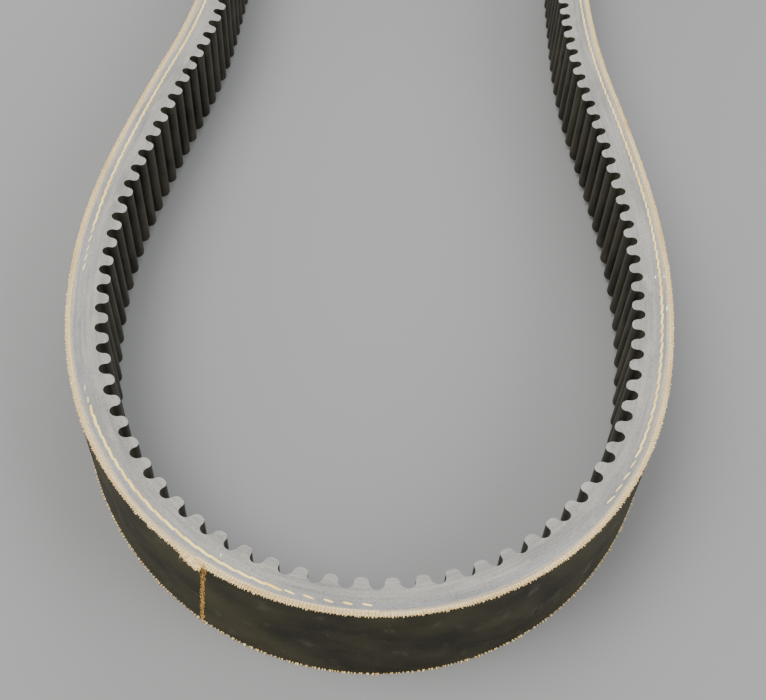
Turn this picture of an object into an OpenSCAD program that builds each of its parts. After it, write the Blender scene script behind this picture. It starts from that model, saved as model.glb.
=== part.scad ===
// Wide cogged V belt for a variable-speed drive, standing free on one side rim.
// The belt is one endless loop.  Its layers, from the back (outside of the loop) to the cogs
// (inside of the loop), are two fabric plies, the rubber over the cord, the turns of the tension
// cord, the rubber under the cord and the compression rubber with its moulded cogs.
// The two flanks are ground to a V and cut through every layer.
// Frame: +Z is up across the belt's width, +Y runs along the loop, and the origin is at the
// middle of the loop on the surface that the belt stands on.

/* [Belt section] */
// Width over the back of the belt
belt_width = 37; // [34:0.5:40]
// Thickness from the back to the tips of the cogs
belt_thickness = 13.2; // [12.6:0.1:14]
// Angle between one flank and the middle plane of the belt
flank_angle = 13; // [10:0.5:15]

/* [Cogs] */
// Number of cogs round the loop
cog_count = 164; // [156:1:168]
// Depth of the notch between two cogs
cog_depth = 4.25; // [4.15:0.05:4.4]
// Radius at the root of a notch, which is half of the notch's width
root_radius = 2.2; // [2:0.05:2.25]
// Radius on the corners of a cog's tip
tip_radius = 1.85; // [1.5:0.05:1.9]

/* [Fabric] */
// Thickness of one fabric ply
ply = 0.7; // [0.5:0.05:0.8]
// Length of the lap where the two ends of the outer ply are joined
lap_length = 50; // [40:5:60]
// Width of the open seam at the end of the lap
seam_gap = 0.6; // [0.4:0.1:1]

/* [Tension cord] */
// Diameter of the twisted cord
cord_d = 1.1; // [0.9:0.05:1.2]
// Distance from one turn of the cord to the next, across the belt
cord_spacing = 1.65; // [1.5:0.05:1.8]
// Depth of the cord's middle line under the back
cord_depth = 4.2; // [4:0.1:4.5]
// Thickness of the rubber sheet that carries the cord from below
undercord_t = 1; // [0.8:0.1:1.2]

/* [Loop] */
// Half of the straight stretch in the left strand, at the waist of the loop
waist_straight = 20; // [15:1:30]
// Radius of the inward bend beside the waist in the left strand
left_waist_radius = 400; // [370:10:430]
// Radius of the inward bend beside the waist in the right strand
right_waist_radius = 500; // [470:10:530]

/* [Hidden] */
$fn = 96;
// Outward bends from the end of the loop to its widest stretch and on to the waist,
// as [turn in degrees, radius of the cord line]
RIGHT_BENDS = [[34, 83], [18, 92], [14, 115], [12, 142], [12, 271], [6, 400], [3, 1020]];
LEFT_BENDS = [[16, 83], [18, 91], [18, 108], [14, 125], [12, 170], [12, 247], [6, 340], [3, 1260]];
// Turn of each inward bend, which brings the strand parallel to the loop's long axis
waist_turn = 9;
// Stretch over which a ply steps down under the lap
step_run = 1.2;
// The first and the last turn lie with their middles on the flanks or just inside them
cord_turns = floor(2 * half_width(cord_depth) / cord_spacing) + 1;
// Sides of the moulded tunnel that holds a turn of the cord in the rubber
tunnel_sides = 8;
// Radius that stands for a straight stretch
flat_radius = 100000;
// Stretch behind the lap in which the outermost turn has run out of the flank, in cogs
run_out_cogs = 8;
// The lap seam lies this many cogs before the middle of the loop's front end
seam_cogs = 4.75;
// The first notch lies this many cogs after the middle of the loop's front end
notch_phase = 0.55;
// A length too short to draw
nothing = 0.01;
// Places and turns are rounded to this many steps per millimetre or degree
fineness = 100;
// Share of a straight stretch that is drawn from each of its ends, so that the two overlap
straight_share = 0.6;
// How far the notch cutters run past the faces that they cut
over = 1.5;
// How far the rounding of a cog's corners rises past the tip, so that it cuts it cleanly
tip_overlap = 0.02;

// ---- loop path: the cord line, walked anticlockwise from the middle of the front end ----
function arc_length(r, turn) = abs(r) * turn * PI / 180;
function reversed(v) = [for (i = [len(v) - 1 : -1 : 0]) v[i]];

// A piece of the path is [turn in degrees, radius (negative for an inward bend), straight length]
function strand(bends, waist_r) =
    concat([for (b = bends) [b[0], b[1], 0]], [[waist_turn, -waist_r, 0]]);
function piece_length(g) = g[0] == 0 ? g[2] : arc_length(g[1], g[0]);
function step_x(g, h) = g[0] == 0 ? g[2] * cos(h) : g[1] * (sin(h + turn_of(g)) - sin(h));
function step_y(g, h) = g[0] == 0 ? g[2] * sin(h) : g[1] * (cos(h) - cos(h + turn_of(g)));
function turn_of(g) = g[0] * sign(g[1]);

// State [distance, x, y, heading] before each piece, then after the last one
function walk(pieces, s, x, y, h, i = 0) =
    i == len(pieces) ? [[s, x, y, h]]
    : concat([[s, x, y, h]],
             walk(pieces, s + piece_length(pieces[i]), x + step_x(pieces[i], h),
                  y + step_y(pieces[i], h), h + turn_of(pieces[i]), i + 1));
function last(v) = v[len(v) - 1];

right_side = strand(RIGHT_BENDS, right_waist_radius);
left_side = strand(LEFT_BENDS, left_waist_radius);
right_walk = walk(right_side, 0, 0, 0, 0);
left_walk = walk(left_side, 0, 0, 0, 0);
half_length = last(left_walk)[2] + waist_straight;
right_straight = half_length - last(right_walk)[2];
right_reach = max([for (w = right_walk) w[1]]);
left_reach = max([for (w = left_walk) w[1]]);

PIECES = concat(right_side, [[0, 1, 2 * right_straight]], reversed(right_side),
                left_side, [[0, 1, 2 * waist_straight]], reversed(left_side));
STATES = walk(PIECES, 0, (left_reach - right_reach) / 2, -half_length, 0);
loop_length = last(STATES)[0];
cog_pitch = loop_length / cog_count;
seam_at = loop_length - seam_cogs * cog_pitch;
// The lap with its steps, and the end of the stretch in which the outermost turn is missing
lap_from = seam_at - 2 * step_run;
lap_to = seam_at + lap_length + step_run;
run_out_to = lap_to + run_out_cogs * cog_pitch;

// Number of the piece that holds the distance s, then the point and heading there
function piece_at(s, i = 0) = s < STATES[i + 1][0] || i == len(PIECES) - 1 ? i : piece_at(s, i + 1);
function part_of(g, d) =
    g[0] == 0 ? [0, 1, d] : [d / piece_length(g) * g[0], g[1], 0];
function place_in(i, d) =
    let (g = part_of(PIECES[i], d), w = STATES[i])
    [w[1] + step_x(g, w[3]), w[2] + step_y(g, w[3]), w[3] + turn_of(g)];
function rounded(v) = round(v * fineness) / fineness;
// Turn made after the distance d in a bend
function turn_at(g, d) = rounded(d / piece_length(g) * g[0]);
function place(s) = let (i = piece_at(s)) place_in(i, s - STATES[i][0]);

function bend_radius(g) = g[0] == 0 ? flat_radius : g[1];

// ---- section: x is the distance inwards from the cord line, y is the height ----
function half_width(depth) = belt_width / 2 - depth * tan(flank_angle);
function turn_height(i) = belt_width / 2 + (i - (cord_turns + 1) / 2) * cord_spacing;

// Slice of the V section between two depths under the back
module slice(depth_a, depth_b) {
    mid = belt_width / 2;
    a = depth_a - cord_depth;
    b = depth_b - cord_depth;
    polygon([[a, mid - half_width(depth_a)], [b, mid - half_width(depth_b)],
             [b, mid + half_width(depth_b)], [a, mid + half_width(depth_a)]]);
}

// Tunnel round a turn of the cord, with flat sides that the cord touches
module tunnel(i) {
    translate([0, turn_height(i)]) rotate(180 / tunnel_sides)
        circle(d = cord_d / cos(180 / tunnel_sides), $fn = tunnel_sides);
}

// A place is given as a coarse step and a fine one, so that neighbouring pieces meet exactly
module move_to(x, y) {
    coarse = [rounded(x), rounded(y), 0];
    translate(coarse) translate([x, y, 0] - coarse) children();
}

module flip(wanted) {
    if (wanted) mirror([1, 0]) children();
    else children();
}

// The section turned about the middle of a bend, from one turn to another in degrees
module run_bend(g, w, from_turn, to_turn) {
    r = g[1];
    start = r > 0 ? w[3] - 90 + from_turn : w[3] + 90 - to_turn;
    move_to(w[1] - r * sin(w[3]), w[2] + r * cos(w[3]))
        rotate_extrude(start = start, angle = to_turn - from_turn)
            translate([abs(r), 0]) flip(r > 0) children();
}

// A straight stretch is two lengths that overlap, each drawn from its own end
module run_straight(w, next) {
    length = straight_share * (next[0] - w[0]);
    move_to(w[1], w[2]) rotate([90, 0, 90 + w[3]]) linear_extrude(length) children();
    move_to(next[1], next[2]) rotate([90, 0, 90 + w[3]]) translate([0, 0, -length])
        linear_extrude(length) children();
}

// A section run along the loop between two distances, which may pass the start of the loop twice.
// Its ends lie in bends, not in the straight stretches at the waist.
module run(from = 0, to = loop_length) {
    for (pass = [0 : 2]) for (i = [0 : len(PIECES) - 1]) {
        g = PIECES[i];
        w = STATES[i];
        passed = pass * loop_length + w[0];
        a = max(from - passed, 0);
        b = min(to - passed, piece_length(g));
        if (b - a > nothing && g[0] == 0) run_straight(w, STATES[i + 1]) children();
        if (b - a > nothing && g[0] > 0) run_bend(g, w, turn_at(g, a), turn_at(g, b)) children();
    }
}

// ---- cogs ----
// Opening between two cogs, seen along the belt's width: x runs along the belt, y inwards.
// The tip corners are tangent to the cog tips where the loop bends with the radius r.
module notch(r) {
    tip = belt_thickness - cord_depth;
    root = tip - cog_depth + root_radius;
    side = root_radius + tip_radius;
    corner = r - sign(r) * sqrt(pow(r - tip + tip_radius, 2) - side * side) + tip_overlap;
    lean = (over + tip_radius) * side / r;
    translate([0, root]) circle(r = root_radius);
    translate([-root_radius, root]) square([2 * root_radius, tip + over - root]);
    difference() {
        polygon([[-side, corner], [side, corner], [side - lean, tip + over], [lean - side, tip + over]]);
        for (x = [-side, side]) translate([x, corner]) circle(r = tip_radius);
    }
}

module notches() {
    for (k = [0 : cog_count - 1]) {
        s = (k + notch_phase) * cog_pitch;
        at = place(s);
        translate([at[0], at[1], -over]) rotate([0, 0, at[2]])
            linear_extrude(belt_width + 2 * over) notch(bend_radius(PIECES[piece_at(s)]));
    }
}

// ---- pieces ----
// Outer ply: its far end steps down at the seam and runs on below the near end
module outer_fabric_ply() color([0.24, 0.22, 0.18]) {
    run(seam_at + seam_gap, seam_at + loop_length) slice(0, ply);
    run(seam_at - step_run, seam_at + lap_length) slice(ply, 2 * ply);
}

// Inner ply: it steps down under the lap and comes up again behind it
module inner_fabric_ply() color([0.80, 0.70, 0.52]) {
    run(seam_at + lap_length, seam_at - step_run + loop_length) slice(ply, 2 * ply);
    run(lap_from, lap_to) slice(2 * ply, 3 * ply);
}

// Section of a cord rubber with the grooves of the first turns
module grooved(depth_a, depth_b, turns) {
    difference() {
        slice(depth_a, depth_b);
        for (i = [1 : turns]) tunnel(i);
    }
}

// Rubber between the plies and the middle line of the cord
module overcord_rubber() color([0.42, 0.43, 0.46]) {
    run(lap_from, lap_to) grooved(3 * ply, cord_depth, cord_turns);
    run(lap_to, run_out_to) grooved(2 * ply, cord_depth, cord_turns - 1);
    run(run_out_to, lap_from + loop_length) grooved(2 * ply, cord_depth, cord_turns);
}

// Rubber sheet below the middle line of the cord
module undercord_rubber() color([0.30, 0.30, 0.31]) {
    run(lap_to, run_out_to) grooved(cord_depth, cord_depth + undercord_t, cord_turns - 1);
    run(run_out_to, lap_to + loop_length) grooved(cord_depth, cord_depth + undercord_t, cord_turns);
}

// One turn of the cord.  The first and the last turn are cut by the flanks and fill their
// tunnels, and the last one has run out of the upper flank behind the lap.
module cord_turn(i) color([0.86, 0.80, 0.60]) {
    cut = i == 1 || i == cord_turns;
    from = i == cord_turns ? run_out_to : 0;
    to = i == cord_turns ? lap_to + loop_length : loop_length;
    run(from, to) {
        if (cut) intersection() {
            tunnel(i);
            slice(cord_depth - cord_d, cord_depth + cord_d);
        }
        else translate([0, turn_height(i)]) circle(d = cord_d);
    }
}

// Compression rubber with the moulded cogs
module compression_rubber() color([0.20, 0.20, 0.20]) {
    difference() {
        run() slice(cord_depth + undercord_t, belt_thickness);
        notches();
    }
}

function turn_name(i) = str("cord_turn_", i < 10 ? "0" : "", i);

outer_fabric_ply();
inner_fabric_ply();
overcord_rubber();
undercord_rubber();
compression_rubber();
for (i = [1 : cord_turns]) cord_turn(i);
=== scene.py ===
import math

import bpy
import numpy as np
from mathutils import Matrix, Vector


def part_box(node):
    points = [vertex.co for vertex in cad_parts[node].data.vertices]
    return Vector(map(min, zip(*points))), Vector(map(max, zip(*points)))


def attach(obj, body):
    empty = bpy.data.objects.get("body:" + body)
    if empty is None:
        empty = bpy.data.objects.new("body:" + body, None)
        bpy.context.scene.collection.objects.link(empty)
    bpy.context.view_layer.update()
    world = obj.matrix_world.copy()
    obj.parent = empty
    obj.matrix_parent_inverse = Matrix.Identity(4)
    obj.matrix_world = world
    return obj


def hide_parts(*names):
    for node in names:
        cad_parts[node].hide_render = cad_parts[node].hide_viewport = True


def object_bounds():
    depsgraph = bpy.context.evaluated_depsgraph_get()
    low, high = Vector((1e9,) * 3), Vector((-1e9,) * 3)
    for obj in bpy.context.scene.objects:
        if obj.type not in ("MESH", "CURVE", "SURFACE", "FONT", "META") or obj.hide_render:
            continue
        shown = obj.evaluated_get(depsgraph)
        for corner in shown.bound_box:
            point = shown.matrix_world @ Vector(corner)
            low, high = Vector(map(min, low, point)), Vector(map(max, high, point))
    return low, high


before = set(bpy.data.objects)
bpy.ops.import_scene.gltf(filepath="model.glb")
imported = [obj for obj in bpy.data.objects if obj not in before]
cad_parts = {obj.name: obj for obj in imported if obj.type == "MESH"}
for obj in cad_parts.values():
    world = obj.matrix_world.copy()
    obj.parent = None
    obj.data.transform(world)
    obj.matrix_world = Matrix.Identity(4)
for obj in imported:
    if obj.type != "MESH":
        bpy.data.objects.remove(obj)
cad_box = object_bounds()

# Looks of a raw-edge cogged V belt.  Every surface is drawn in belt coordinates: the distance
# along the cord line from the middle of the front end, the depth under the back of the belt,
# and the height above the floor.  The loop and its section are those of the CAD model.

MM = 0.001

# ---- section of the belt ----
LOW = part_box("outer_fabric_ply")[0].z
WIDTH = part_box("outer_fabric_ply")[1].z - LOW
MIDDLE = LOW + WIDTH / 2
THICKNESS = 13.2 * MM
FLANK = math.radians(13)
PLY = 0.7 * MM
CORD_DEPTH = 4.2 * MM
CUSHION_DEPTH = 5.2 * MM
COG_DEPTH = 4.25 * MM
ROOT_RADIUS = 2.2 * MM
TIP_RADIUS = 1.85 * MM

# ---- loop of the belt ----
COGS = 164
# The first notch lies this share of the pitch after the middle of the front end
NOTCH_PHASE = 0.55
# The seam lies this many cogs before the middle of the front end
SEAM_COGS = 4.75
LAP_LENGTH = 50 * MM
# Length of the step at either end of the lap, and of the gap between the two ends of the ply
STEP_RUN = 1.2 * MM
SEAM_GAP = 0.6 * MM
# The cord stays hidden from the end of the lap for this many cogs
RUN_OUT_COGS = 8
# Half of the straight at the left waist
WAIST_STRAIGHT = 20 * MM
# Bends from the end of the loop to its waist: (turn in degrees, radius in mm, inward if negative)
RIGHT_BENDS = ((34, 83), (18, 92), (14, 115), (12, 142), (12, 271), (6, 400), (3, 1020), (9, -500))
LEFT_BENDS = ((16, 83), (18, 91), (18, 108), (14, 125), (12, 170), (12, 247), (6, 340), (3, 1260),
              (9, -400))
# Radius in metres that stands for a straight
FLAT_RADIUS = 100.0

# ---- cloth edges, seam and cut cord ----
YARN_SPACING = 0.95 * MM
# The seam leans: it meets the upper rim after SEAM and the lower rim before it
SEAM_TOP = 1.3 * MM
SEAM_BOTTOM = -3.0 * MM
SEAM_BLEND = 60 * MM
# The frayed corner of the ply stands out of the back beside the upper end of the seam
CORNER_LENGTH = 8.4 * MM
CORNER_HEIGHT = 3.5 * MM
CORNER_SWELL = 0.9 * MM
# Length of one twist of the cord, and of a dash where the flank only grazes it
TWIST = 4.5 * MM
DASH = 3.4 * MM
DASH_SPACING = 5.3 * MM
# Where the cut cord changes, in cogs from the middle of the front end: left of it the cord fades,
# is hidden, shows faintly and comes back whole, and nearer the middle it breaks up into dashes
CORD_FADES, CORD_HIDES, CORD_SHOWS, CORD_WHOLE, CORD_DASHES = -20.7, -18.2, -12.9, -11.9, -2.3
# Right of the stretch where it stays hidden, the cord shows faintly for this many cogs
FAINT_COGS = 2.2
# How the cut cord wanders across the flank: (distance along the belt, depth under the back) in mm
CORD_WANDER = ((-700, 3.9), (-330, 4.0), (-260, 3.9), (-200, 4.2), (-120, 3.9), (-60, 4.4), (-20, 4.0),
               (80, 3.5), (160, 3.6), (220, 3.1), (330, 3.5), (700, 3.9))
# Chalky specks on the upper flank: (distance, depth, length) in mm
CHALK = ((168, 2.1, 3.2), (183.5, 2.1, 1.5), (183.5, 5.0, 2.0), (-42, 6.5, 1.1))


# ---- the cord line ----
def bends(table):
    """(turn in radians, signed radius, length) of each bend, in metres."""
    return [(math.copysign(math.radians(t), r), r * MM, math.radians(t) * abs(r) * MM)
            for t, r in table]


def walk(pieces):
    """Distance, x, y and heading before each piece and after the last one."""
    states = [(0.0, 0.0, 0.0, 0.0)]
    for turn, radius, length in pieces:
        s, x, y, h = states[-1]
        if turn:
            x += radius * (math.sin(h + turn) - math.sin(h))
            y += radius * (math.cos(h) - math.cos(h + turn))
        else:
            x += length * math.cos(h)
            y += length * math.sin(h)
        states.append((s + length, x, y, h + turn))
    return np.array(states)


def loop_pieces():
    """Every bend and straight of the loop, anticlockwise from the middle of the front end."""
    right, left = bends(RIGHT_BENDS), bends(LEFT_BENDS)
    half = walk(left)[-1, 2] + WAIST_STRAIGHT
    right_straight = half - walk(right)[-1, 2]
    return (right + [(0, 0, 2 * right_straight)] + right[::-1]
            + left + [(0, 0, 2 * WAIST_STRAIGHT)] + left[::-1])


PIECES = np.array(loop_pieces())
STATES = walk(PIECES)
LENGTH = STATES[-1, 0]
PITCH = LENGTH / COGS
SEAM = -SEAM_COGS * PITCH
LAP_END = SEAM + LAP_LENGTH
RUN_OUT_END = LAP_END + STEP_RUN + RUN_OUT_COGS * PITCH


def piece_of(s):
    """Number of the piece that holds each distance."""
    return np.searchsorted(STATES[:-1, 0], np.mod(s, LENGTH), side="right") - 1


def cord_line(s):
    """x, y and the inward normal at each distance."""
    i = piece_of(s)
    start, x, y, h = (STATES[i, k] for k in range(4))
    turn, radius = PIECES[i, 0], PIECES[i, 1]
    d = np.mod(s, LENGTH) - start
    bent = turn != 0
    r = np.where(bent, radius, 1.0)
    end = np.where(bent, h + d / r, h)
    x = x + np.where(bent, r * (np.sin(end) - np.sin(h)), d * np.cos(h))
    y = y + np.where(bent, r * (np.cos(h) - np.cos(end)), d * np.sin(h))
    return x, y, -np.sin(end), np.cos(end)


def frame_offset():
    """Where the walk's start lies in the frame: the back of the belt fills the CAD model's box."""
    x, y, nx, ny = cord_line(np.linspace(0, LENGTH, 8000))
    back = np.stack([x - nx * CORD_DEPTH, y - ny * CORD_DEPTH])
    low, high = back.min(1), back.max(1)
    wanted = np.array(cad_box[0][:2]), np.array(cad_box[1][:2])
    if np.abs((high - low) - (wanted[1] - wanted[0])).max() > 0.3 * MM:
        raise ValueError("the loop of this script isn't the loop of the CAD model")
    return (wanted[0] + wanted[1] - low - high) / 2


OFFSET = frame_offset()


def belt(s, depth, height):
    """Points of the frame from belt coordinates."""
    s, depth, height = np.broadcast_arrays(s, depth, height)
    x, y, nx, ny = cord_line(s)
    inwards = depth - CORD_DEPTH
    return np.stack([x + nx * inwards + OFFSET[0], y + ny * inwards + OFFSET[1], height], -1)


def half_width(depth):
    return WIDTH / 2 - depth * math.tan(FLANK)


def flank(s, depth, side, proud=0.0):
    """Points on the upper (side 1) or lower (side -1) flank, raised off it by proud."""
    height = MIDDLE + side * (half_width(depth) + proud * math.cos(FLANK))
    return belt(s, depth + proud * math.sin(FLANK), height)


def ripple(s, step, seed):
    """A smooth uneven wave along the loop, from -1 to 1, with bumps about step long."""
    draw = np.random.default_rng(seed)
    turns = LENGTH / step
    waves = [np.sin(2 * np.pi * (round(turns * k) * s / LENGTH + draw.random()))
             for k in (0.41, 0.73, 1.0, 1.37)]
    return sum(waves) / 2.6


def in_lap(s):
    """1 under the fabric lap, 0 elsewhere, with the steps at its two ends."""
    return np.interp(s, [SEAM - 2 * STEP_RUN, SEAM - STEP_RUN, LAP_END, LAP_END + STEP_RUN],
                     [0, 1, 1, 0])


# ---- mesh building ----
class Strip:
    """A grid of points with its UVs and material number.  Strips side by side share a border row."""

    def __init__(self, points, u, v, material):
        self.points = points
        self.uv = np.stack(np.broadcast_arrays(u, v), -1)
        self.material = material


def signed_volume(points, quads):
    """Six times the volume that the quads enclose, negative where they face inwards."""
    a, b, c, d = (points[quads[:, k]] for k in range(4))
    return (np.einsum("ij,ij->i", a, np.cross(b, c)) + np.einsum("ij,ij->i", a, np.cross(c, d))).sum()


def make_object(name, points, faces, uvs, numbers, materials, sharp=35):
    """A mesh object, shaded smooth with sharp edges over the given angle."""
    mesh = bpy.data.meshes.new(name)
    mesh.from_pydata(points.tolist(), [], faces)
    mesh.uv_layers.new(name="UVMap").data.foreach_set("uv", np.concatenate(uvs).ravel())
    for material in materials:
        mesh.materials.append(material)
    mesh.polygons.foreach_set("material_index", numbers)
    mesh.polygons.foreach_set("use_smooth", np.ones(len(faces), bool))
    mesh.update()
    mesh.set_sharp_from_angle(angle=math.radians(sharp))
    obj = bpy.data.objects.new(name, mesh)
    bpy.context.scene.collection.objects.link(obj)
    return obj


def sweep(name, strips, materials, closed=True):
    """A solid along the loop whose section is the strips in order.  An open one gets two ends."""
    spans = strips[0].points.shape[0] - 1
    kept = spans if closed else spans + 1
    rows = [s.points.shape[1] - 1 for s in strips]
    total = sum(rows)
    points = np.concatenate([s.points[:kept, :-1] for s in strips], axis=1).reshape(-1, 3)
    quads, uvs, numbers, first = [], [], [], 0
    for strip, count in zip(strips, rows):
        i, j = (g.ravel() for g in np.meshgrid(np.arange(spans), np.arange(count), indexing="ij"))
        corners = ((i, j), (i + 1, j), (i + 1, j + 1), (i, j + 1))
        quads.append(np.stack([(a % kept) * total + (first + b) % total for a, b in corners], -1))
        uvs.append(np.stack([strip.uv[a, b] for a, b in corners], 1))
        numbers += [strip.material] * len(i)
        first += count
    quads, uvs = np.concatenate(quads), np.concatenate(uvs)
    inside_out = signed_volume(points, quads) < 0
    if inside_out:
        quads, uvs = quads[:, ::-1], uvs[:, ::-1]
    faces = quads.tolist()
    corner_uvs = [uvs.reshape(-1, 2)]
    if not closed:
        end = list(range(total))
        start = [spans * total + k for k in end]
        faces += [end[::-1], start] if not inside_out else [end, start[::-1]]
        corner_uvs += [np.zeros((2 * total, 2))]
        numbers += [strips[0].material] * 2
    return make_object(name, points, faces, corner_uvs, numbers, materials)


def threads(name, paths, radii, materials, tones, sides=6):
    """Many tapered threads in one piece.  paths is (threads, rings, 3) and radii (threads, rings).

    Each thread's tone, from 0 to 1, is its U, and V runs along it."""
    count, rings = radii.shape
    along = np.gradient(paths, axis=1)
    along /= np.linalg.norm(along, axis=2, keepdims=True) + 1e-12
    spare = np.where(np.abs(along[..., 2:]) > 0.9, (1.0, 0.0, 0.0), (0.0, 0.0, 1.0))
    a = np.cross(along, spare)
    a /= np.linalg.norm(a, axis=2, keepdims=True)
    b = np.cross(along, a)
    angle = np.arange(sides) * 2 * np.pi / sides
    around = (a[:, :, None] * np.cos(angle)[:, None] + b[:, :, None] * np.sin(angle)[:, None])
    points = (paths[:, :, None] + around * radii[:, :, None, None]).reshape(-1, 3)
    t, r, k = (g.ravel() for g in np.meshgrid(
        np.arange(count), np.arange(rings - 1), np.arange(sides), indexing="ij"))
    base = t * rings * sides + r * sides
    quads = np.stack([base + k, base + (k + 1) % sides,
                      base + sides + (k + 1) % sides, base + sides + k], -1)
    if signed_volume(points, quads) < 0:
        quads = quads[:, ::-1]
    ends = np.arange(count)[:, None] * rings * sides + np.arange(sides)
    tops = ends + (rings - 1) * sides
    flipped = quads[0, 0] != base[0] + k[0]
    caps = np.concatenate([ends if flipped else ends[:, ::-1], tops[:, ::-1] if flipped else tops])
    v = np.stack([r, r, r + 1, r + 1], -1) / (rings - 1)
    quad_uv = np.stack([np.repeat(tones[t][:, None], 4, 1), v], -1).reshape(-1, 2)
    cap_uv = np.stack([np.repeat(np.tile(tones, 2), sides), np.zeros(2 * count * sides)], -1)
    faces = quads.tolist() + caps.tolist()
    return make_object(name, points, faces, [quad_uv, cap_uv], [0] * len(faces), materials, sharp=60)


# ---- materials ----
# The wave texture has 20 / 2 pi bands to the unit at scale 1
ONE_BAND = 2 * math.pi / 20


class Shader:
    """A procedural material built from a few named steps."""

    def __init__(self, name, roughness=0.7, **sockets):
        self.material = bpy.data.materials.new(name)
        self.material.use_nodes = True
        self.tree = self.material.node_tree
        self.surface = self.tree.nodes["Principled BSDF"]
        self.surface.inputs["Roughness"].default_value = roughness
        for socket, value in sockets.items():
            self.surface.inputs[socket.replace("_", " ")].default_value = value

    def node(self, kind, inputs=(), **settings):
        """A new node.  Each of its inputs is linked to a socket or set to a value."""
        made = self.tree.nodes.new(kind)
        for key, value in settings.items():
            setattr(made, key, value)
        for key, value in dict(inputs).items():
            if isinstance(value, bpy.types.NodeSocket):
                self.tree.links.new(value, made.inputs[key])
            else:
                made.inputs[key].default_value = value
        return made

    def place(self, scale, source="UV", turn=0.0):
        """Texture coordinates, scaled in features per metre."""
        where = self.node("ShaderNodeTexCoord").outputs[source]
        mapping = self.node("ShaderNodeMapping", {"Vector": where, "Scale": scale})
        mapping.inputs["Rotation"].default_value = (0, 0, turn)
        return mapping.outputs["Vector"]

    def noise(self, scale, source="UV", detail=3.0, roughness=0.55):
        return self.node("ShaderNodeTexNoise", {
            "Vector": self.place(scale, source), "Scale": 1.0, "Detail": detail,
            "Roughness": roughness}).outputs["Fac"]

    def bands(self, scale, turn=0.0, distortion=0.0):
        """Parallel bands across U, with scale as their number per metre."""
        return self.node("ShaderNodeTexWave", {
            "Vector": self.place((scale, scale, scale), turn=turn), "Scale": ONE_BAND,
            "Distortion": distortion}, bands_direction="X").outputs["Fac"]

    def ramp(self, source, low, high, out_low=0.0, out_high=1.0):
        return self.node("ShaderNodeMapRange", {
            "Value": source, "From Min": low, "From Max": high,
            "To Min": out_low, "To Max": out_high}).outputs["Result"]

    def mix(self, factor, a, b):
        """Colour a, or colour b where the factor is 1."""
        colours = {0: factor, 6: a, 7: b}
        return self.node("ShaderNodeMix", colours, data_type="RGBA").outputs[2]

    def add(self, a, b):
        return self.node("ShaderNodeMath", {0: a, 1: b}, operation="ADD").outputs[0]

    def multiply(self, a, b):
        return self.node("ShaderNodeMath", {0: a, 1: b}, operation="MULTIPLY").outputs[0]

    def uv(self, axis):
        where = self.node("ShaderNodeTexCoord").outputs["UV"]
        return self.node("ShaderNodeSeparateXYZ", {"Vector": where}).outputs[axis]

    def colour(self, source):
        self.tree.links.new(source, self.surface.inputs["Base Color"])

    def gloss(self, source):
        self.tree.links.new(source, self.surface.inputs["Roughness"])

    def bump(self, height, distance):
        made = self.node("ShaderNodeBump", {"Height": height, "Distance": distance, "Strength": 1.0})
        self.tree.links.new(made.outputs["Normal"], self.surface.inputs["Normal"])


def grey(value, tint=(1, 1, 1)):
    return (*(value * t for t in tint), 1)


def ground_rubber():
    """Rubber ground along the belt, seen on the flanks.  V is the depth under the back.

    Bluish over the cord, warmer below it, with long streaks, smudges, pores and the pale
    cotton dust that the grinding has dragged out of the cloth."""
    m = Shader("ground_rubber", Specular_IOR_Level=0.25)
    depth = m.uv("Y")
    streaks = m.noise((26, 950, 1), detail=3)
    broad = m.noise((26, 120, 1), detail=3)
    patches = m.noise((70, 190, 1), detail=3)
    grain = m.noise((1900, 1900, 1900), "Object", detail=3)
    warm = m.mix(m.ramp(broad, 0.38, 0.62), (0.215, 0.208, 0.194, 1), (0.30, 0.288, 0.262, 1))
    cool = m.mix(m.ramp(broad, 0.38, 0.62), (0.203, 0.205, 0.21, 1), (0.268, 0.27, 0.272, 1))
    base = m.mix(m.ramp(depth, 3.2 * MM, 5.4 * MM), cool, warm)
    base = m.mix(m.ramp(depth, 10.5 * MM, THICKNESS, 0, 0.35), base, (0.345, 0.33, 0.30, 1))
    base = m.mix(m.ramp(streaks, 0.34, 0.52, 0.42, 0), base, (0.155, 0.152, 0.147, 1))
    base = m.mix(m.ramp(streaks, 0.55, 0.72, 0, 0.4), base, (0.36, 0.345, 0.31, 1))
    base = m.mix(m.ramp(patches, 0.58, 0.72, 0, 0.5), base, (0.41, 0.36, 0.29, 1))
    dust = m.add(depth, m.ramp(streaks, 0.3, 0.7, 0.45 * MM, -0.45 * MM))
    base = m.mix(m.ramp(dust, 1.3 * MM, 2.7 * MM, 0.9, 0), base, (0.56, 0.43, 0.24, 1))
    m.colour(m.mix(m.ramp(grain, 0.36, 0.48, 0.45, 0), base, grey(0.10, (1, 0.98, 0.94))))
    m.gloss(m.ramp(streaks, 0.3, 0.7, 0.82, 0.64))
    m.bump(m.add(streaks, grain), 0.04 * MM)
    return m.material


def moulded_rubber():
    """Dark rubber as it leaves the mould, with a thin bloom and a little grime."""
    m = Shader("moulded_rubber", Specular_IOR_Level=0.28)
    bloom = m.noise((90, 60, 90), "Object", detail=4)
    fine = m.noise((1500, 1500, 1500), "Object", detail=3)
    rubbed = m.noise((500, 500, 60), "Object", detail=2)
    base = m.mix(m.ramp(bloom, 0.38, 0.62), (0.0115, 0.0105, 0.0064, 1), (0.026, 0.0235, 0.0145, 1))
    base = m.mix(m.ramp(rubbed, 0.56, 0.7, 0, 0.4), base, (0.055, 0.051, 0.036, 1))
    m.colour(m.mix(m.ramp(fine, 0.6, 0.72, 0, 0.3), base, (0.058, 0.052, 0.036, 1)))
    m.gloss(m.ramp(bloom, 0.3, 0.7, 0.38, 0.58))
    m.bump(fine, 0.04 * MM)
    return m.material


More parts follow.
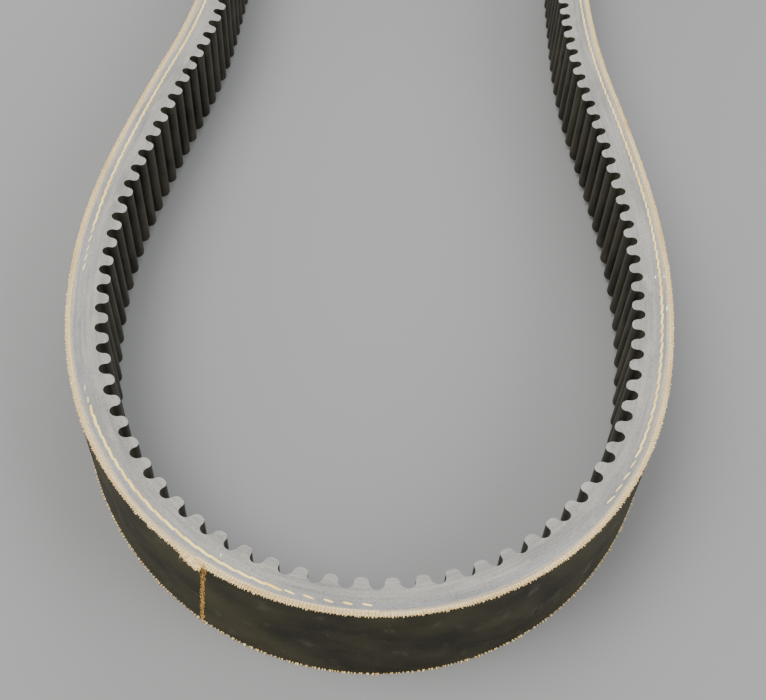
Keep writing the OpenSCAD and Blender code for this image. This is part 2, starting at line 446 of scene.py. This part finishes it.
def back_cloth():
    """Rubberised bias fabric: two sets of threads at 45 degrees, sunk in dark rubber."""
    m = Shader("back_cloth", Specular_IOR_Level=0.18)
    one = m.bands(1000, turn=math.radians(45), distortion=0.6)
    two = m.bands(1000, turn=math.radians(-45), distortion=0.6)
    weave = m.multiply(one, two)
    cloud = m.noise((48, 80, 1), detail=5)
    scuff = m.noise((170, 110, 1), detail=5, roughness=0.65)
    olive = m.noise((14, 20, 1), detail=2)
    fine = m.noise((1900, 1900, 1900), "Object", detail=3)
    base = m.mix(m.ramp(cloud, 0.38, 0.62), (0.0135, 0.0122, 0.0070, 1), (0.034, 0.0310, 0.0185, 1))
    base = m.mix(m.ramp(olive, 0.45, 0.65, 0, 0.55), base, (0.062, 0.055, 0.024, 1))
    base = m.mix(m.ramp(weave, 0.2, 0.9, 0, 0.25), base, (0.052, 0.046, 0.029, 1))
    m.colour(m.mix(m.ramp(scuff, 0.57, 0.74, 0, 0.5), base, (0.095, 0.088, 0.066, 1)))
    m.gloss(m.ramp(cloud, 0.3, 0.7, 0.58, 0.76))
    m.bump(m.add(weave, fine), 0.07 * MM)
    return m.material


def cut_cloth(name, dark, light, gap):
    """Cut edge of a cotton ply: pale matted yarn ends with a few darker gaps between them."""
    m = Shader(name, roughness=0.92, Specular_IOR_Level=0.12)
    yarns = m.bands(1 / YARN_SPACING, distortion=2.5)
    fibres = m.noise((900, 2600, 1), detail=4)
    cloud = m.noise((42, 110, 1), detail=4)
    base = m.mix(m.ramp(fibres, 0.35, 0.65), dark, light)
    base = m.mix(m.ramp(cloud, 0.46, 0.64, 0, 0.75), base, dark)
    m.colour(m.mix(m.ramp(yarns, 0.0, 0.45, 0.6, 0), base, gap))
    m.bump(m.add(yarns, fibres), 0.12 * MM)
    return m.material


def yarn(name, dark, light, grime):
    """Loose cotton or cord fibre.  U holds each thread's own tone."""
    m = Shader(name, roughness=0.88, Specular_IOR_Level=0.25)
    fibres = m.noise((2300, 2300, 2300), "Object", detail=3)
    patches = m.noise((300, 300, 300), "Object", detail=2)
    base = m.mix(m.uv("X"), dark, light)
    base = m.mix(m.ramp(fibres, 0.35, 0.7, 0.3, 0), base, dark)
    m.colour(m.mix(m.ramp(patches, 0.55, 0.75, 0, 0.4), base, grime))
    m.bump(fibres, 0.05 * MM)
    return m.material


def floor_finish():
    m = Shader("studio_floor", roughness=0.85, Specular_IOR_Level=0.2)
    tone = m.noise((3, 3, 3), "Object", detail=2)
    m.colour(m.mix(m.ramp(tone, 0.3, 0.7), grey(0.215), grey(0.23)))
    return m.material


# ---- cogs ----
def half_notch(radius):
    """x and inward distance from the cord line, from the middle of a notch to a cog's tip.

    Root arc, wall and the rounded corner of the cog, for bends of the given radii."""
    tip = THICKNESS - CORD_DEPTH
    root = tip - COG_DEPTH + ROOT_RADIUS
    side = ROOT_RADIUS + TIP_RADIUS
    wall = COG_DEPTH - side
    half_tip = PITCH / 2 - side
    arc = np.radians(np.linspace(0, 90, 8))
    corner = np.radians(np.linspace(0, 90, 5))
    centre = radius - np.sign(radius) * np.sqrt((radius - tip + TIP_RADIUS) ** 2 - side ** 2)
    x = np.concatenate([ROOT_RADIUS * np.sin(arc), side - TIP_RADIUS * np.cos(corner)])
    m = np.concatenate([np.tile(root - ROOT_RADIUS * np.cos(arc), (len(radius), 1)),
                        centre[:, None] + TIP_RADIUS * np.sin(corner)], axis=1)
    walked = np.concatenate([ROOT_RADIUS * arc,
                             ROOT_RADIUS * arc[-1] + wall + TIP_RADIUS * corner])
    return np.tile(x, (len(radius), 1)), m, walked / (walked[-1] + half_tip)


def cog_outline():
    """Distance and depth of the cogs' outline, and the distance below each of its points."""
    middles = (np.arange(COGS) - COGS // 2 + NOTCH_PHASE) * PITCH
    piece = PIECES[piece_of(middles)]
    radius = np.where(piece[:, 0] == 0, FLAT_RADIUS, piece[:, 1])
    x, m, share = half_notch(radius)
    x = np.concatenate([-x[:, :0:-1], x], axis=1)
    m = np.concatenate([m[:, :0:-1], m], axis=1)
    share = np.concatenate([-share[:0:-1], share])
    r = radius[:, None]
    s = middles[:, None] + r * np.arctan(x / (r - m))
    depth = CORD_DEPTH + r - np.sign(r) * np.hypot(x, r - m)
    below = middles[:, None] + share * PITCH / 2
    tip = middles[:, None] + PITCH / 2
    s = np.concatenate([s, tip], axis=1).ravel()
    depth = np.concatenate([depth, np.full_like(tip, THICKNESS)], axis=1).ravel()
    below = np.concatenate([below, tip], axis=1).ravel()
    return (np.append(s, s[0] + LENGTH), np.append(depth, depth[0]),
            np.append(below, below[0] + LENGTH))


def cog_ring(rubber, inside):
    """The compression rubber: its two flanks, the moulded cogs and the border under the cushion."""
    s, depth, below = (a[:, None] for a in cog_outline())
    share = np.linspace(0, 1, 5)
    across = np.linspace(-1, 1, 9)
    flank_s = below + (s - below) * share
    flank_depth = CUSHION_DEPTH + (depth - CUSHION_DEPTH) * share
    tip_rows = MIDDLE + across * half_width(depth)
    border = MIDDLE + np.array([1, -1]) * half_width(CUSHION_DEPTH)
    strips = [
        Strip(flank(flank_s, flank_depth, -1), flank_s, flank_depth, 0),
        Strip(belt(s, depth, tip_rows), s, tip_rows, 1),
        Strip(flank(flank_s, flank_depth, 1)[:, ::-1], flank_s[:, ::-1], flank_depth[:, ::-1], 0),
        Strip(belt(below, CUSHION_DEPTH, border), below, border, 1),
    ]
    return sweep("cog_ring", strips, [rubber, inside])


# ---- cushion and plies ----
def columns(step, start=-LENGTH / 2, end=LENGTH / 2):
    """Even distances along the belt, about step apart, one to a row."""
    return np.linspace(start, end, int((end - start) / step) + 1)[:, None]


def straight_on(s, depth, height):
    """The warp of a layer that lies in its plain place."""
    return s, depth


def layer(name, s, top, bottom, raised, finishes, back_rows, closed=True, warp=straight_on):
    """One layer of the belt between two depths.  raised lifts its cut edge off the upper flank.

    warp moves the layer's points along the belt and in depth."""
    share = np.linspace(0, 1, 4)
    depth = top + (bottom - top) * share
    upper_depth = depth + raised * math.sin(FLANK)
    upper = MIDDLE + half_width(depth) + raised * math.cos(FLANK)
    lower = MIDDLE - half_width(depth)
    inner = np.stack([lower[:, -1], upper[:, -1]], 1)
    outer = upper[:, :1] + (lower[:, :1] - upper[:, :1]) * np.linspace(0, 1, back_rows)
    outer_depth = upper_depth[:, :1] + (top - upper_depth[:, :1]) * np.linspace(0, 1, back_rows)
    inner_depth = np.stack([depth[:, -1], upper_depth[:, -1]], 1)

    def strip(depths, heights, v, material):
        where, depths = warp(s, depths, heights)
        return Strip(belt(where, depths, heights), where, v, material)

    strips = [
        strip(depth, lower, depth, 0),
        strip(inner_depth, inner, inner, 1),
        strip(upper_depth[:, ::-1], upper[:, ::-1], depth[:, ::-1], 0),
        strip(outer_depth, outer, outer, 1),
    ]
    return sweep(name, strips, finishes, closed)


def cushion_ring(rubber, inside):
    """The rubber over and under the cord, in one piece.  The lap presses it in."""
    s = columns(1 * MM)
    top = (2 + in_lap(s)) * PLY
    return layer("cushion_ring", s, top, np.full_like(top, CUSHION_DEPTH), 0.0, [rubber, inside], 2)


def inner_ply(edge, face):
    """The inner ply, which steps inwards under the lap."""
    s = columns(0.5 * MM)
    top = (1 + in_lap(s)) * PLY
    raised = (0.05 + 0.04 * ripple(s, 3 * MM, 5)) * MM
    return layer("inner_cloth", s, top, top + PLY, raised, [edge, face], 2)


def seam_lean(height):
    """How far after SEAM the seam lies at each height."""
    share = (height - LOW) / WIDTH
    return SEAM_BOTTOM + (SEAM_TOP - SEAM_BOTTOM) * share


def corner_swell(s, height):
    """How far the frayed corner before the seam stands out of the back."""
    before = SEAM + seam_lean(height) - s
    rise = np.clip(1 - before / CORNER_LENGTH, 0, 1) * (before > -SEAM_GAP)
    return CORNER_SWELL * rise * np.exp((height - LOW - WIDTH) / CORNER_HEIGHT)


def seam_warp(s, depth, height):
    """The ends of the outer ply follow the seam's lean, and the corner of its far end swells."""
    near = np.clip(1 - (s - SEAM) / SEAM_BLEND, 0, 1)
    far = np.clip(1 - (SEAM + LENGTH - s) / SEAM_BLEND, 0, 1)
    leaned = s + (near + far) * seam_lean(height)
    outside = np.clip(1 - depth / PLY, 0, 1) * (far > 0)
    return leaned, depth - corner_swell(leaned - LENGTH, height) * outside


def outer_ply(edge, face):
    """The outer ply from the seam right round to the seam."""
    s = columns(0.5 * MM, SEAM + SEAM_GAP, SEAM + LENGTH)
    raised = (0.10 + 0.06 * ripple(s, 2.2 * MM, 7)) * MM
    return layer("back_cloth", s, np.zeros_like(s), np.full_like(s, PLY), raised, [edge, face], 13,
                 closed=False, warp=seam_warp)


def lap_tail(edge, face):
    """The end of the outer ply that runs on below the other end, thinned out at both its ends."""
    s = columns(0.5 * MM, SEAM - 1.95 * STEP_RUN, LAP_END + 0.95 * STEP_RUN)
    raised = (0.09 + 0.05 * ripple(s, 2.6 * MM, 11)) * MM
    return layer("lap_cloth", s, np.full_like(s, PLY), PLY + PLY * in_lap(s), raised, [edge, face],
                 2, closed=False)


# ---- yarn ends, cut cord and seam ----
def thread_path(roots, tips, sag):
    """Threads of four rings from root to tip, bowed sideways by sag."""
    t = np.linspace(0, 1, 4)[None, :, None]
    return roots[:, None] + (tips - roots)[:, None] * t + sag[:, None] * np.sin(np.pi * t)


def rim_yarns(name, side, finish, seed, spacing, reach, thick):
    """The frayed yarn ends along one rim of the back.

    reach is the shortest and longest distance that they stand out of the back."""
    draw = np.random.default_rng(seed)
    count = int(LENGTH / spacing)
    s = (np.arange(count) + draw.uniform(-0.35, 0.35, count)) * spacing - LENGTH / 2
    fray = 0.5 + 0.5 * ripple(s, 38 * MM, seed + 50) * ripple(s, 9 * MM, seed + 60)
    size = draw.uniform(0.7, 1.2, count)
    lean = draw.normal(0, 0.25, count) * MM
    out = (reach[0] + (reach[1] - reach[0]) * draw.random(count) ** 1.6 * (0.5 + fray)) * size
    rise = draw.uniform(0.0, 0.16, count) * MM
    roots = flank(s, 0.6 * MM, side, -thick)
    if side > 0:
        tips = belt(s + lean, -out, LOW + WIDTH - thick + rise)
    else:
        tips = belt(s + lean, -out, LOW + thick * 1.3 + rise)
    sag = np.zeros_like(roots)
    sag[:, 2] = 0.05 * MM
    radii = np.array([1.0, 1.0, 0.9, 0.45]) * (thick * size)[:, None]
    return threads(name, thread_path(roots, tips, sag), radii, [finish], draw.random(count))


def cord_plies(draw, start, end, spacing, length, bare):
    """Middle, length and bareness of the cut cord's plies between two distances."""
    count = max(round((end - start) / spacing), 1)
    middles = start + (np.arange(count) + 0.5) * (end - start) / count
    return (middles + draw.uniform(-0.15, 0.15, count) * MM, length * draw.uniform(0.9, 1.1, count),
            bare * draw.uniform(0.75, 1.25, count))


def cut_cord(name, side, finish, seed):
    """The outermost turn of the cord, laid open by the flank: plies of the twist, one after another."""
    draw = np.random.default_rng(seed)
    fades, hides, shows, whole, dashes = (
        cogs * PITCH for cogs in (CORD_FADES, CORD_HIDES, CORD_SHOWS, CORD_WHOLE, CORD_DASHES))
    faint_end = RUN_OUT_END + FAINT_COGS * PITCH
    # Each run: from, to, spacing of its plies, their length and how bare they lie
    runs = [(-LENGTH / 2, fades, TWIST, 1.4 * TWIST, 0.8),
            (fades, hides, TWIST, TWIST, 0.35),
            (shows, whole, TWIST, 0.7 * TWIST, 0.25),
            (whole, dashes, TWIST, 1.4 * TWIST, 1.0),
            (dashes, LAP_END, DASH_SPACING, DASH, 0.8),
            (RUN_OUT_END, faint_end, DASH_SPACING, TWIST, 0.3),
            (faint_end, LENGTH / 2, TWIST, 1.3 * TWIST, 0.65)]
    found = [cord_plies(draw, *run) for run in runs]
    middle, size, bare = (np.concatenate(parts) for parts in zip(*found))
    t = np.linspace(0, 1, 9)
    along, wander = np.array(CORD_WANDER).T * MM
    s = middle[:, None] + size[:, None] * (t - 0.5)
    slant = 0.3 * MM * draw.uniform(0.8, 1.2, len(middle))
    depth = np.interp(s, along, wander) - slant[:, None] * (t - 0.5) * 2
    sunk = 0.45 * MM
    radii = sunk + 0.22 * MM * bare[:, None] * (1.35 * np.sqrt(np.sin(np.pi * t)) - 0.35)
    return threads(name, flank(s, depth, side, -sunk), radii, [finish], draw.random(len(middle)), 8)


def seam_yarns(finish, seed=31):
    """Frayed ends that fill the seam across the back, widest at the upper rim."""
    draw = np.random.default_rng(seed)
    count = 520
    height = LOW + np.minimum(draw.uniform(0.35, 39.0, count) * MM, WIDTH - 0.15 * MM)
    broad = (0.55 + 0.55 * np.exp((height - LOW - WIDTH) / (4 * MM))) * MM
    middle = SEAM + SEAM_GAP / 2 + seam_lean(height) + 0.07 * MM * np.sin(height / (1.7 * MM))
    s = middle + draw.uniform(-1, 1, count) * broad
    roots = belt(s, 0.45 * MM, height)
    rise = draw.uniform(-1.3, 1.3, count) * MM
    top = np.clip(height + rise, LOW + 0.35 * MM, LOW + WIDTH)
    tips = belt(s + draw.uniform(-0.35, 0.35, count) * MM, -draw.uniform(0.0, 0.26, count) * MM, top)
    radii = np.array([1.0, 1.0, 0.8, 0.4]) * draw.uniform(0.14, 0.24, count)[:, None] * MM
    sag = draw.uniform(-0.08, 0.08, (count, 3)) * MM
    return threads("seam_yarns", thread_path(roots, tips, sag), radii, [finish], draw.random(count))


def corner_yarns(finish, seed=37):
    """The matted yarn ends on the frayed corner beside the upper end of the seam."""
    draw = np.random.default_rng(seed)
    count = 190
    before = CORNER_LENGTH * draw.beta(1.2, 2.2, count)
    height = LOW + WIDTH - draw.exponential(0.7, count).clip(0, 3.2) * MM
    s = SEAM + seam_lean(height) - before
    face = corner_swell(s, height)
    roots = belt(s, 0.3 * MM - face, height)
    reach = face + draw.uniform(0.1, 0.5, count) * MM * (1 - before / CORNER_LENGTH)
    drop = draw.uniform(-0.9, 0.25, count) * MM
    tips = belt(s - draw.uniform(0.0, 1.4, count) * MM, -reach, height + drop)
    sag = draw.uniform(-0.12, 0.12, (count, 3)) * MM
    radii = np.array([1.0, 1.0, 0.85, 0.4]) * draw.uniform(0.15, 0.26, count)[:, None] * MM
    return threads("corner_yarns", thread_path(roots, tips, sag), radii, [finish], draw.random(count))


def chalk_specks(finish):
    """A few dabs of chalk on the upper flank."""
    s, depth, length = np.array(CHALK).T * MM
    t = np.linspace(0, 1, 7)
    along = s[:, None] + length[:, None] * (t - 0.5)
    sunk = 1.2 * MM
    paths = flank(along, depth[:, None] + 0.15 * MM * np.sin(5 * t), 1, -sunk)
    radii = (sunk + 0.09 * MM * (1.4 * np.sqrt(np.sin(np.pi * t)) - 0.4)) * np.ones((len(s), 1))
    return threads("chalk_specks", paths, radii, [finish], np.ones(len(s)), 8)


# ---- camera, lights and floor ----
def add_camera():
    """The camera stands in front of the loop and above it, looking down along the belt."""
    place = Vector((8.5, -462.5, 292)) * MM
    heading, tilt, roll = (math.radians(angle) for angle in (-0.65, 49.3, 3.26))
    ahead = Vector((math.sin(heading) * math.cos(tilt), math.cos(heading) * math.cos(tilt),
                    -math.sin(tilt)))
    level = Vector((math.cos(heading), -math.sin(heading), 0))
    upright = level.cross(ahead)
    right = level * math.cos(roll) + upright * math.sin(roll)
    up = upright * math.cos(roll) - level * math.sin(roll)
    data = bpy.data.cameras.new("camera")
    data.lens = 48.4
    data.sensor_width = 36
    data.sensor_fit = "HORIZONTAL"
    data.clip_start = 0.01
    camera = bpy.data.objects.new("camera", data)
    camera.matrix_world = Matrix((right, up, -ahead)).transposed().to_4x4()
    camera.location = place
    bpy.context.scene.collection.objects.link(camera)
    bpy.context.scene.camera = camera


def add_light(name, place, size, power, colour):
    data = bpy.data.lights.new(name, "AREA")
    data.shape = "DISK"
    data.size = size
    data.energy = power
    data.color = colour
    light = bpy.data.objects.new(name, data)
    light.location = place
    light.rotation_euler = (-Vector(place)).to_track_quat("-Z", "Y").to_euler()
    bpy.context.scene.collection.objects.link(light)


def add_world():
    world = bpy.data.worlds.new("studio")
    world.use_nodes = True
    background = world.node_tree.nodes["Background"]
    background.inputs["Color"].default_value = (0.98, 0.99, 1.0, 1)
    background.inputs["Strength"].default_value = 0.92
    bpy.context.scene.world = world


def add_floor():
    """A plain square floor, reach metres to each side."""
    reach = 6.0
    corners = [(-reach, -reach, LOW), (reach, -reach, LOW), (reach, reach, LOW), (-reach, reach, LOW)]
    mesh = bpy.data.meshes.new("floor")
    mesh.from_pydata(corners, [], [(0, 1, 2, 3)])
    mesh.materials.append(floor_finish())
    floor = bpy.data.objects.new("floor", mesh)
    bpy.context.scene.collection.objects.link(floor)


def finish_piece(piece, slot, *nodes):
    """Sets a piece's body and hides the CAD nodes that it stands for. slot is not used."""
    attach(piece, "root")
    if nodes:
        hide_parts(*nodes)


def build_belt():
    ground, inside, back = ground_rubber(), moulded_rubber(), back_cloth()
    cream = cut_cloth("cut_cotton", (0.52, 0.33, 0.13, 1), (0.88, 0.70, 0.37, 1), (0.25, 0.16, 0.07, 1))
    pale = cut_cloth("cut_cotton_pale", (0.58, 0.43, 0.22, 1), (0.86, 0.70, 0.40, 1),
                     (0.34, 0.26, 0.15, 1))
    fray = yarn("frayed_cotton", (0.66, 0.42, 0.15, 1), (0.95, 0.79, 0.46, 1), (0.48, 0.31, 0.12, 1))
    gold = yarn("golden_cotton", (0.60, 0.38, 0.09, 1), (0.95, 0.78, 0.38, 1), (0.40, 0.26, 0.08, 1))
    tan = yarn("seam_cotton", (0.30, 0.16, 0.038, 1), (0.62, 0.38, 0.11, 1), (0.20, 0.115, 0.035, 1))
    cord = yarn("cord_fibre", (0.93, 0.62, 0.14, 1), (1.0, 0.83, 0.31, 1), (0.66, 0.46, 0.16, 1))
    chalk = yarn("chalk", (0.80, 0.80, 0.78, 1), (0.95, 0.95, 0.93, 1), (0.75, 0.74, 0.70, 1))

    finish_piece(cog_ring(ground, inside), "cog_rubber", "compression_rubber")
    finish_piece(cushion_ring(ground, inside), "cushion_rubber", "overcord_rubber", "undercord_rubber")
    finish_piece(inner_ply(pale, back), "inner_fabric", "inner_fabric_ply")
    finish_piece(outer_ply(cream, back), "back_fabric", "outer_fabric_ply")
    finish_piece(lap_tail(cream, back), "back_fabric", "outer_fabric_ply")
    upper_rim = rim_yarns("upper_rim_yarns", 1, fray, 3, 0.6 * MM, (0.1 * MM, 0.4 * MM), 0.2 * MM)
    lower_rim = rim_yarns("lower_rim_yarns", -1, gold, 4, YARN_SPACING, (0.3 * MM, 0.7 * MM), 0.28 * MM)
    finish_piece(upper_rim, "back_fabric")
    finish_piece(lower_rim, "back_fabric")
    finish_piece(cut_cord("upper_cut_cord", 1, cord, 13), "tension_cord", "cord_turn_22")
    finish_piece(cut_cord("lower_cut_cord", -1, cord, 17), "tension_cord", "cord_turn_01")
    finish_piece(seam_yarns(tan), "back_fabric")
    finish_piece(corner_yarns(fray), "back_fabric")
    finish_piece(chalk_specks(chalk), "cushion_rubber")
    for name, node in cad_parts.items():
        if name.startswith("cord_turn"):
            for slot in node.material_slots:
                slot.material = cord


add_camera()
add_world()
add_floor()
add_light("key_light", (-0.9, -0.5, 1.7), 1.4, 41, (1.0, 0.985, 0.96))
add_light("fill_light", (1.5, -0.8, 1.1), 1.2, 27, (0.98, 0.99, 1.0))
add_light("side_light", (-1.4, -0.9, 0.55), 0.9, 6, (1.0, 0.97, 0.88))
add_light("rear_light", (0.2, 1.6, 1.3), 1.2, 17, (0.97, 0.985, 1.0))
build_belt()
